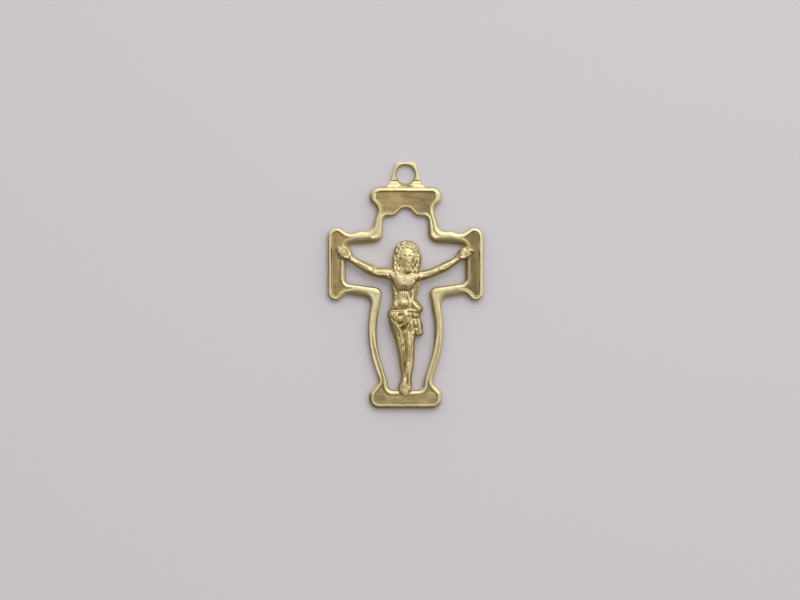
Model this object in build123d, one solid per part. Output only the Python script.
from build123d import *

import os
from math import cos, radians, tan

# Openwork brass crucifix pendant, in millimetres, lying on its back.
# X runs across the arms, Y up towards the hanging tab and Z out of the front face.
# The origin is under the middle of the whole pendant, on its back plane.

# Frame: a pierced plate with a strip of rim along each edge
frame_width = 28.4
frame_height = 40.4
plate_thickness = 0.8
rim_width = 0.64
rim_height = 0.55

# Flat fields and grooves that the two rims leave between them
side_field = 1.96
bottom_field = 2.06
top_field = 4.16
arch_field = 2.56
shoulder_groove = 0.82
arm_groove = 0.62
stem_groove = 0.24

# The arch in the top of the opening
arch_width = 1.8
arch_foot_width = 4.2

# Bends, measured on the inside of the rim or, in the hollows of the outline, on its edge
ear_bend = 0.7
tip_bend = 0.16
crook_bend = 0.9
wave_bend = 1.5
stem_bend = 20.0
neck_bend = 3.0
shoulder_bend = 1.1
opening_bend = 0.85

# Hanging tab
tab_land = 0.6
tab_thickness = 0.8
tab_wall = 0.6
tab_flare = 0.4
tab_foot_flare = 1.0
tab_foot_height = 1.35
tab_corner_bend = 0.95
tab_ramp_length = 1.1
tab_ramp_rise = 0.42
tab_scoop = 0.62
hole_diameter = 3.4

# Nails that rivet the figure to the frame
nail_diameter = 0.4
nail_head_diameter = 1.05
nail_head_height = 0.3
nail_tail_diameter = 0.72
nail_tail_length = 0.25
hand_over_rim = 0.55
feet_over_rim = 0.7
nail_boss_wall = 0.14
fit_clearance = 0.02
seat_clearance = 0.04
cut_margin = 1.0

# Figure: full widths of its masses, and how far they stand off the plate's face
torso_width = 5.1
torso_height = 2.0
cloth_width = 2.8
cloth_height = 1.85
cloth_tail_width = 1.84
cloth_tail_height = 1.65
head_width = 5.24
head_length = 6.0
head_height = 2.12
arm_width = 2.0
arm_height = 1.6
leg_width = 2.9
leg_height = 1.78
hands_height_share = 0.7  # of the frame height

# Shares that shape the strips, the corners and the figure's sections
rim_side_share = 0.45  # straight part of a strip's side, of its height
corner_share = 0.48  # most of a run that a rounded corner may take
sunk_share = 0.3  # how far a section's centre stands off the plate's face, in half depths
round_end_shares = [0.6, 0.92]  # places of the sections that round off a mass, of its half width there

# Corners of the outer outline's right half, from the bottom up: shares of half the width and of the height
bottom_ear_shares = [(0.467, 0.0), (0.467, 0.071)]
neck_shares = (0.336, 0.121)
stem_shares = (0.518, 0.312)
armpit_shares = (0.440, 0.497)
low_trough_shares = (0.776, 0.519)
low_tip_shares = (0.865, 0.486)
end_shares = [(1.0, 0.486), (1.0, 0.817)]
high_tip_shares = (0.853, 0.817)
high_trough_shares = (0.724, 0.787)
crest_shares = (0.577, 0.803)
crook_shares = (0.440, 0.798)
top_neck_shares = (0.354, 0.903)
top_ear_shares = [(0.462, 0.939), (0.462, 1.0)]

# Sections of the figure: across in shares of the reach to a hand's nail, up in shares of the rise from the
# feet's nail to the hands' nails, then half width and height in shares of the mass's full sizes; the hair is
# an egg about one centre, with its height alone
flank_shares = [
    (-0.009, 0.859, 0.34, 0.75),
    (-0.009, 0.827, 0.47, 0.78),
    (-0.004, 0.788, 0.50, 0.70),
    (-0.009, 0.740, 0.48, 0.51),
    (-0.026, 0.665, 0.41, 0.50),
    (-0.022, 0.618, 0.48, 0.65),
    (-0.013, 0.578, 0.55, 0.75),
]
chest_shares = [
    (-0.027, 0.855, 0.41, 0.88),
    (-0.027, 0.827, 0.46, 0.98),
    (-0.031, 0.800, 0.43, 1.00),
    (-0.034, 0.776, 0.37, 0.94),
    (-0.028, 0.726, 0.26, 0.60),
    (-0.027, 0.697, 0.26, 0.58),
    (-0.031, 0.648, 0.32, 0.78),
    (-0.031, 0.622, 0.34, 0.70),
]
hip_shares = [
    (0.080, 0.669, 0.15, 0.60),
    (0.133, 0.633, 0.20, 0.80),
    (0.213, 0.602, 0.16, 0.85),
]
hair_shares = (0.022, 0.978, 0.87)
face_shares = [
    (0.029, 0.998, 0.21, 0.90),
    (0.025, 0.970, 0.23, 0.99),
    (0.024, 0.942, 0.22, 1.00),
    (0.027, 0.910, 0.21, 0.94),
    (0.032, 0.875, 0.12, 0.90),
]
right_lock_shares = [
    (-0.151, 0.958, 0.13, 0.75),
    (-0.155, 0.918, 0.13, 0.78),
    (-0.146, 0.875, 0.12, 0.83),
]
left_lock_shares = [
    (0.186, 0.958, 0.13, 0.75),
    (0.188, 0.922, 0.13, 0.78),
    (0.164, 0.879, 0.12, 0.83),
]
right_arm_shares = [
    (-0.151, 0.843, 0.48, 1.00),
    (-0.266, 0.851, 0.48, 1.00),
    (-0.381, 0.861, 0.41, 0.88),
    (-0.479, 0.875, 0.40, 0.86),
    (-0.585, 0.895, 0.43, 0.89),
    (-0.736, 0.926, 0.37, 0.81),
    (-0.880, 0.963, 0.30, 0.75),
    (-0.957, 0.990, 0.52, 0.81),
    (-1.011, 1.008, 0.57, 0.81),
    (-1.080, 1.029, 0.34, 0.72),
]
left_arm_shares = [
    (0.133, 0.843, 0.48, 1.00),
    (0.239, 0.847, 0.48, 1.00),
    (0.381, 0.861, 0.41, 0.88),
    (0.470, 0.875, 0.40, 0.86),
    (0.567, 0.893, 0.42, 0.89),
    (0.718, 0.924, 0.35, 0.81),
    (0.835, 0.956, 0.30, 0.75),
    (0.913, 0.982, 0.48, 0.81),
    (0.975, 0.998, 0.54, 0.81),
    (1.058, 1.018, 0.34, 0.72),
]
right_leg_shares = [
    (-0.155, 0.554, 0.50, 0.90),
    (-0.137, 0.487, 0.47, 0.93),
    (-0.093, 0.416, 0.41, 0.97),
    (-0.055, 0.356, 0.35, 0.98),
    (-0.031, 0.301, 0.30, 0.84),
    (-0.012, 0.190, 0.25, 0.68),
    (0.018, 0.119, 0.21, 0.65),
    (0.044, 0.028, 0.17, 0.75),
]
left_leg_shares = [
    (0.115, 0.546, 0.48, 0.90),
    (0.089, 0.483, 0.45, 0.93),
    (0.064, 0.420, 0.38, 0.98),
    (0.051, 0.356, 0.33, 1.00),
    (0.051, 0.301, 0.30, 0.90),
    (0.036, 0.190, 0.25, 0.80),
    (0.011, 0.119, 0.21, 0.76),
    (-0.007, 0.075, 0.23, 0.79),
    (-0.020, 0.040, 0.34, 0.84),
    (-0.020, 0.016, 0.34, 0.81),
]
cloth_shares = [
    (-0.195, 0.562, 0.38, 0.84),
    (-0.080, 0.550, 0.48, 0.97),
    (0.035, 0.550, 0.50, 1.00),
    (0.120, 0.562, 0.43, 0.89),
]
cloth_tail_shares = [
    (0.173, 0.558, 0.39, 1.00),
    (0.173, 0.530, 0.38, 0.97),
    (0.199, 0.491, 0.47, 0.97),
    (0.208, 0.435, 0.50, 0.91),
]

# Places that follow from the sizes
half_width = frame_width / 2
hole_radius = hole_diameter / 2
hole_height = tab_land + hole_radius
tab_height = hole_height + hole_radius + tab_wall
bottom = -(frame_height + tab_height) / 2
top = bottom + frame_height
side_panel = 2 * rim_width + side_field
bottom_panel = 2 * rim_width + bottom_field
top_panel = 2 * rim_width + top_field
arch_panel = 2 * rim_width + arch_field
shoulder_bar = 2 * rim_width + shoulder_groove
arm_bar = 2 * rim_width + arm_groove
stem_bar = 2 * rim_width + stem_groove
hand_x = half_width - side_panel + rim_width / 2
hand_y = bottom + hands_height_share * frame_height
foot_y = bottom + bottom_panel - rim_width / 2
rise = hand_y - foot_y
rim_top = plate_thickness + rim_height


def on_frame(shares):
    """A point of the outer outline from its shares of half the width and of the height."""
    return half_width * shares[0], bottom + frame_height * shares[1]


def mirrored(right_half):
    """A counter-clockwise loop of (point, radius) corners from its right half, listed from the bottom up."""
    left_half = [((-x, y), radius) for (x, y), radius in reversed(right_half)]
    return right_half + left_half


def outer_corners():
    """Corners of the outline that the outer rim follows."""
    ear = rim_width + ear_bend
    tip = rim_width + tip_bend
    rounded = [
        (bottom_ear_shares[0], ear),
        (bottom_ear_shares[1], tip),
        (neck_shares, crook_bend),
        (stem_shares, stem_bend),
        (armpit_shares, crook_bend),
        (low_trough_shares, crook_bend),
        (low_tip_shares, tip),
        (end_shares[0], ear),
        (end_shares[1], ear),
        (high_tip_shares, tip),
        (high_trough_shares, wave_bend),
        (crest_shares, wave_bend),
        (crook_shares, crook_bend),
        (top_neck_shares, crook_bend),
        (top_ear_shares[0], tip),
        (top_ear_shares[1], ear),
    ]
    return mirrored([(on_frame(shares), radius) for shares, radius in rounded])


def inner_corners():
    """Corners of the opening, set in from the outer outline by the bars and panels."""
    neck_x, neck_y = on_frame(neck_shares)
    stem_x, stem_y = on_frame(stem_shares)
    armpit_x, armpit_y = on_frame(armpit_shares)
    low_y = on_frame(low_trough_shares)[1]
    high_y = on_frame(high_trough_shares)[1]
    crook_x, crook_y = on_frame(crook_shares)
    end_x = half_width - side_panel
    reflex = rim_width + ear_bend
    return mirrored(
        [
            ((neck_x - stem_bar, bottom + bottom_panel), opening_bend),
            ((neck_x - stem_bar, neck_y), neck_bend),
            ((stem_x - stem_bar, stem_y), stem_bend - stem_bar),
            ((armpit_x - shoulder_bar, armpit_y + arm_bar), reflex),
            ((end_x, low_y + arm_bar), opening_bend),
            ((end_x, high_y - arm_bar), opening_bend),
            ((crook_x - shoulder_bar, crook_y - arm_bar), rim_width + shoulder_bend),
            ((crook_x - shoulder_bar, top - top_panel), opening_bend),
            ((arch_foot_width / 2, top - top_panel), rim_width + tip_bend),
            ((arch_width / 2, top - arch_panel), opening_bend),
        ]
    )


def neighbours(corners):
    """Each corner as (point before, point, point after, radius)."""
    points = [Vector(*point) for point, _ in corners]
    before = points[-1:] + points[:-1]
    after = points[1:] + points[:1]
    return zip(before, points, after, [radius for _, radius in corners])


def inset(corners, distance):
    """The loop moved to its left by a distance, each arc about its old centre."""
    moved = []
    for before, here, after, radius in neighbours(corners):
        into = (here - before).normalized()
        away = (after - here).normalized()
        left_of_both = Vector(-into.Y - away.Y, into.X + away.X).normalized()
        half_turn = radians(into.get_angle(away)) / 2
        turns_left = into.cross(away).Z > 0
        point = here + left_of_both * (distance / cos(half_turn))
        moved.append(((point.X, point.Y), radius - distance if turns_left else radius + distance))
    return moved


def rounded_loop(corners):
    """Closed wire of straight runs and tangent arcs, each arc held within its share of the runs beside it."""
    arcs = []
    for before, here, after, radius in neighbours(corners):
        into, away = here - before, after - here
        half_turn = radians(into.get_angle(away)) / 2
        shortest = min(into.length, away.length)
        reach = min(radius * tan(half_turn), corner_share * shortest)
        inward = (away.normalized() - into.normalized()).normalized()
        sagitta = reach / tan(half_turn) * (1 / cos(half_turn) - 1)
        start = here - into.normalized() * reach
        end = here + away.normalized() * reach
        arcs.append((start, here + inward * sagitta, end))
    edges = []
    for arc, following in zip(arcs, arcs[1:] + arcs[:1]):
        if (arc[2] - arc[0]).length > 0:
            edges.append(ThreePointArc(*arc).edge())
        edges.append(Line(arc[2], following[0]).edge())
    return Wire(edges)


def rim(corners, to_centre, margin):
    """Stilted half-round strip on the plate's face, along a loop moved to the strip's centre line."""
    path = Pos(0, 0, plate_thickness) * rounded_loop(inset(corners, to_centre))
    half = rim_width / 2 + margin
    crown = rim_height + margin
    side = rim_side_share * crown
    along = path % 0
    section_plane = Plane(origin=path @ 0, x_dir=Vector(0, 0, 1).cross(along), z_dir=along)
    outline = [
        Line((-half, 0), (half, 0)),
        Line((half, 0), (half, side)),
        ThreePointArc((half, side), (0, crown), (-half, side)),
        Line((-half, side), (-half, 0)),
    ]
    return sweep(section_plane * make_face(outline), path)


def rounded_end(near, far):
    """Sections past the last one, each (centre, half width, height), that close a mass as a ball would."""
    centre, half, height = near
    outward = (centre - far[0]).normalized()
    closing = []
    for reach_share in round_end_shares:
        left_share = (1 - reach_share**2) ** 0.5
        closing.append((centre + outward * (half * reach_share), half * left_share, height * left_share))
    return closing


def mass(shares, width, height):
    """Straight loft through elliptical sections square to their line of centres, cut flat at the back later."""
    stations = [
        (Vector(hand_x * x, foot_y + rise * y), width * half_share, height * height_share)
        for x, y, half_share, height_share in shares
    ]
    start = rounded_end(stations[0], stations[1])
    end = rounded_end(stations[-1], stations[-2])
    stations = start[::-1] + stations + end
    sections = []
    for before, here, after in zip(stations[:1] + stations, stations, stations[1:] + stations[-1:]):
        along = (after[0] - before[0]).normalized()
        centre, half, top_height = here
        half_depth = top_height / (1 + sunk_share)
        lift = Vector(0, 0, plate_thickness + sunk_share * half_depth)
        plane = Plane(origin=centre + lift, x_dir=Vector(0, 0, 1).cross(along), z_dir=along)
        sections.append(plane * Ellipse(half, half_depth))
    return loft(sections, ruled=True)


def hair():
    """Egg of hair that the face and the locks stand out of."""
    x, y, height_share = hair_shares
    half_depth = head_height * height_share / (1 + sunk_share)
    centre = Pos(hand_x * x, foot_y + rise * y, plate_thickness + sunk_share * half_depth)
    return centre * scale(Sphere(1), (head_width / 2, head_length / 2, half_depth))


def upright(x, y, radius, low, high):
    """Round bar along Z between two heights."""
    return Pos(x, y, (low + high) / 2) * Cylinder(radius, high - low)


nail_places = {
    "nail_right_hand": (-hand_x, hand_y, rim_top + hand_over_rim),
    "nail_left_hand": (hand_x, hand_y, rim_top + hand_over_rim),
    "nail_feet": (0, foot_y, rim_top + feet_over_rim),
}


def nail(x, y, seat, margin):
    """Rivet with a domed head above its seat and a tail flared flush with the back, or its room."""
    shank = nail_diameter / 2 + margin
    head = nail_head_diameter / 2 + margin
    tail = nail_tail_diameter / 2 + margin
    crown = seat + nail_head_height
    profile = [
        Line((0, 0), (tail, 0)),
        Line((tail, 0), (shank, nail_tail_length)),
        Line((shank, nail_tail_length), (shank, seat)),
        Line((shank, seat), (head, seat)),
        RadiusArc((head, seat), (0, crown), -dome_radius(head)),
        Line((0, crown), (0, 0)),
    ]
    return Pos(x, y, 0) * revolve(Plane.XZ * make_face(profile), Axis.Z)


def dome_radius(half_span):
    """Radius of the cap that spans a nail head and is as tall as one."""
    return (half_span**2 + nail_head_height**2) / (2 * nail_head_height)


def nail_bores():
    """Bores of all three nails, with the room that a tail needs at the back."""
    return [nail(x, y, seat, fit_clearance) for x, y, seat in nail_places.values()]


def cross_plate():
    """Flat plate in the outline of the cross, pierced by the opening and by the nails."""
    outer = make_face(rounded_loop(outer_corners()))
    inner = make_face(rounded_loop(inner_corners()))
    return extrude(outer - inner, plate_thickness) - nail_bores()


def outer_rim():
    """Rim along the outside edge of the plate."""
    return rim(outer_corners(), rim_width / 2, 0)


def inner_rim(margin=0):
    """Rim round the opening, or the room that it needs under the figure."""
    return rim(inner_corners(), -rim_width / 2, margin)


def hanging_tab():
    """Flat lug with the hanging hole, butted to the plate's top edge, with a ramp each side up to the rim."""
    shoulder_x = hole_radius + tab_wall + tab_flare
    foot_x = shoulder_x + tab_foot_flare
    hole_y = top + hole_height
    right_half = [
        ((foot_x, top), 0),
        ((shoulder_x, top + tab_foot_height), crook_bend),
        ((hole_radius, top + tab_height), tab_corner_bend),
    ]
    lug_face = make_face(rounded_loop(mirrored(right_half)))
    ramp_profile = make_face(
        Polyline(
            (0, tab_thickness),
            (tab_ramp_length, tab_thickness),
            (0, tab_thickness + tab_ramp_rise),
            close=True,
        )
    )
    ramp_plane = Plane(origin=(-foot_x, top, 0), x_dir=(0, 1, 0), z_dir=(1, 0, 0))
    ramp = extrude(ramp_plane * ramp_profile, 2 * foot_x)
    within_lug = extrude(lug_face, tab_thickness + tab_ramp_rise)
    above = tab_thickness + tab_ramp_rise + cut_margin
    scoop = upright(0, hole_y, hole_radius + tab_scoop, tab_thickness, above)
    lug = extrude(lug_face, tab_thickness) + ((ramp & within_lug) - scoop)
    return lug - upright(0, hole_y, hole_radius, -cut_margin, above)


def corpus():
    """The figure in one casting: flat on the plate's face, grooved over the rim, spot-faced for the nails."""
    masses = [mass(shares, torso_width, torso_height) for shares in (flank_shares, chest_shares, hip_shares)]
    masses += [mass(shares, arm_width, arm_height) for shares in (right_arm_shares, left_arm_shares)]
    masses += [mass(shares, leg_width, leg_height) for shares in (right_leg_shares, left_leg_shares)]
    masses += [
        mass(shares, head_width, head_height) for shares in (face_shares, right_lock_shares, left_lock_shares)
    ]
    masses.append(mass(cloth_shares, cloth_width, cloth_height))
    masses.append(mass(cloth_tail_shares, cloth_tail_width, cloth_tail_height))
    boss_radius = nail_head_diameter / 2 + nail_boss_wall
    masses += [upright(x, y, boss_radius, 0, seat) for x, y, seat in nail_places.values()]
    figure = hair() + masses
    figure = split(figure, Plane.XY.offset(plate_thickness), keep=Keep.TOP)
    figure -= inner_rim(seat_clearance)
    for x, y, seat in nail_places.values():
        figure -= upright(x, y, nail_head_diameter / 2 + fit_clearance, seat, seat + head_height)
        figure -= upright(x, y, nail_diameter / 2 + fit_clearance, 0, seat + cut_margin)
    return figure


def bored_inner_rim():
    """Rim round the opening, drilled for the three nails that cross it."""
    return inner_rim() - nail_bores()


nodes = {
    "cross_plate": cross_plate(),
    "outer_rim": outer_rim(),
    "inner_rim": bored_inner_rim(),
    "hanging_tab": hanging_tab(),
    "corpus": corpus(),
}
for name, (x, y, seat) in nail_places.items():
    nodes[name] = nail(x, y, seat, 0)

os.makedirs("parts", exist_ok=True)
for name, shape in nodes.items():
    export_step(shape, f"parts/{name}.step")
    print(name, len(shape.solids()), "solids", round(shape.volume, 3), "mm3", shape.is_valid)
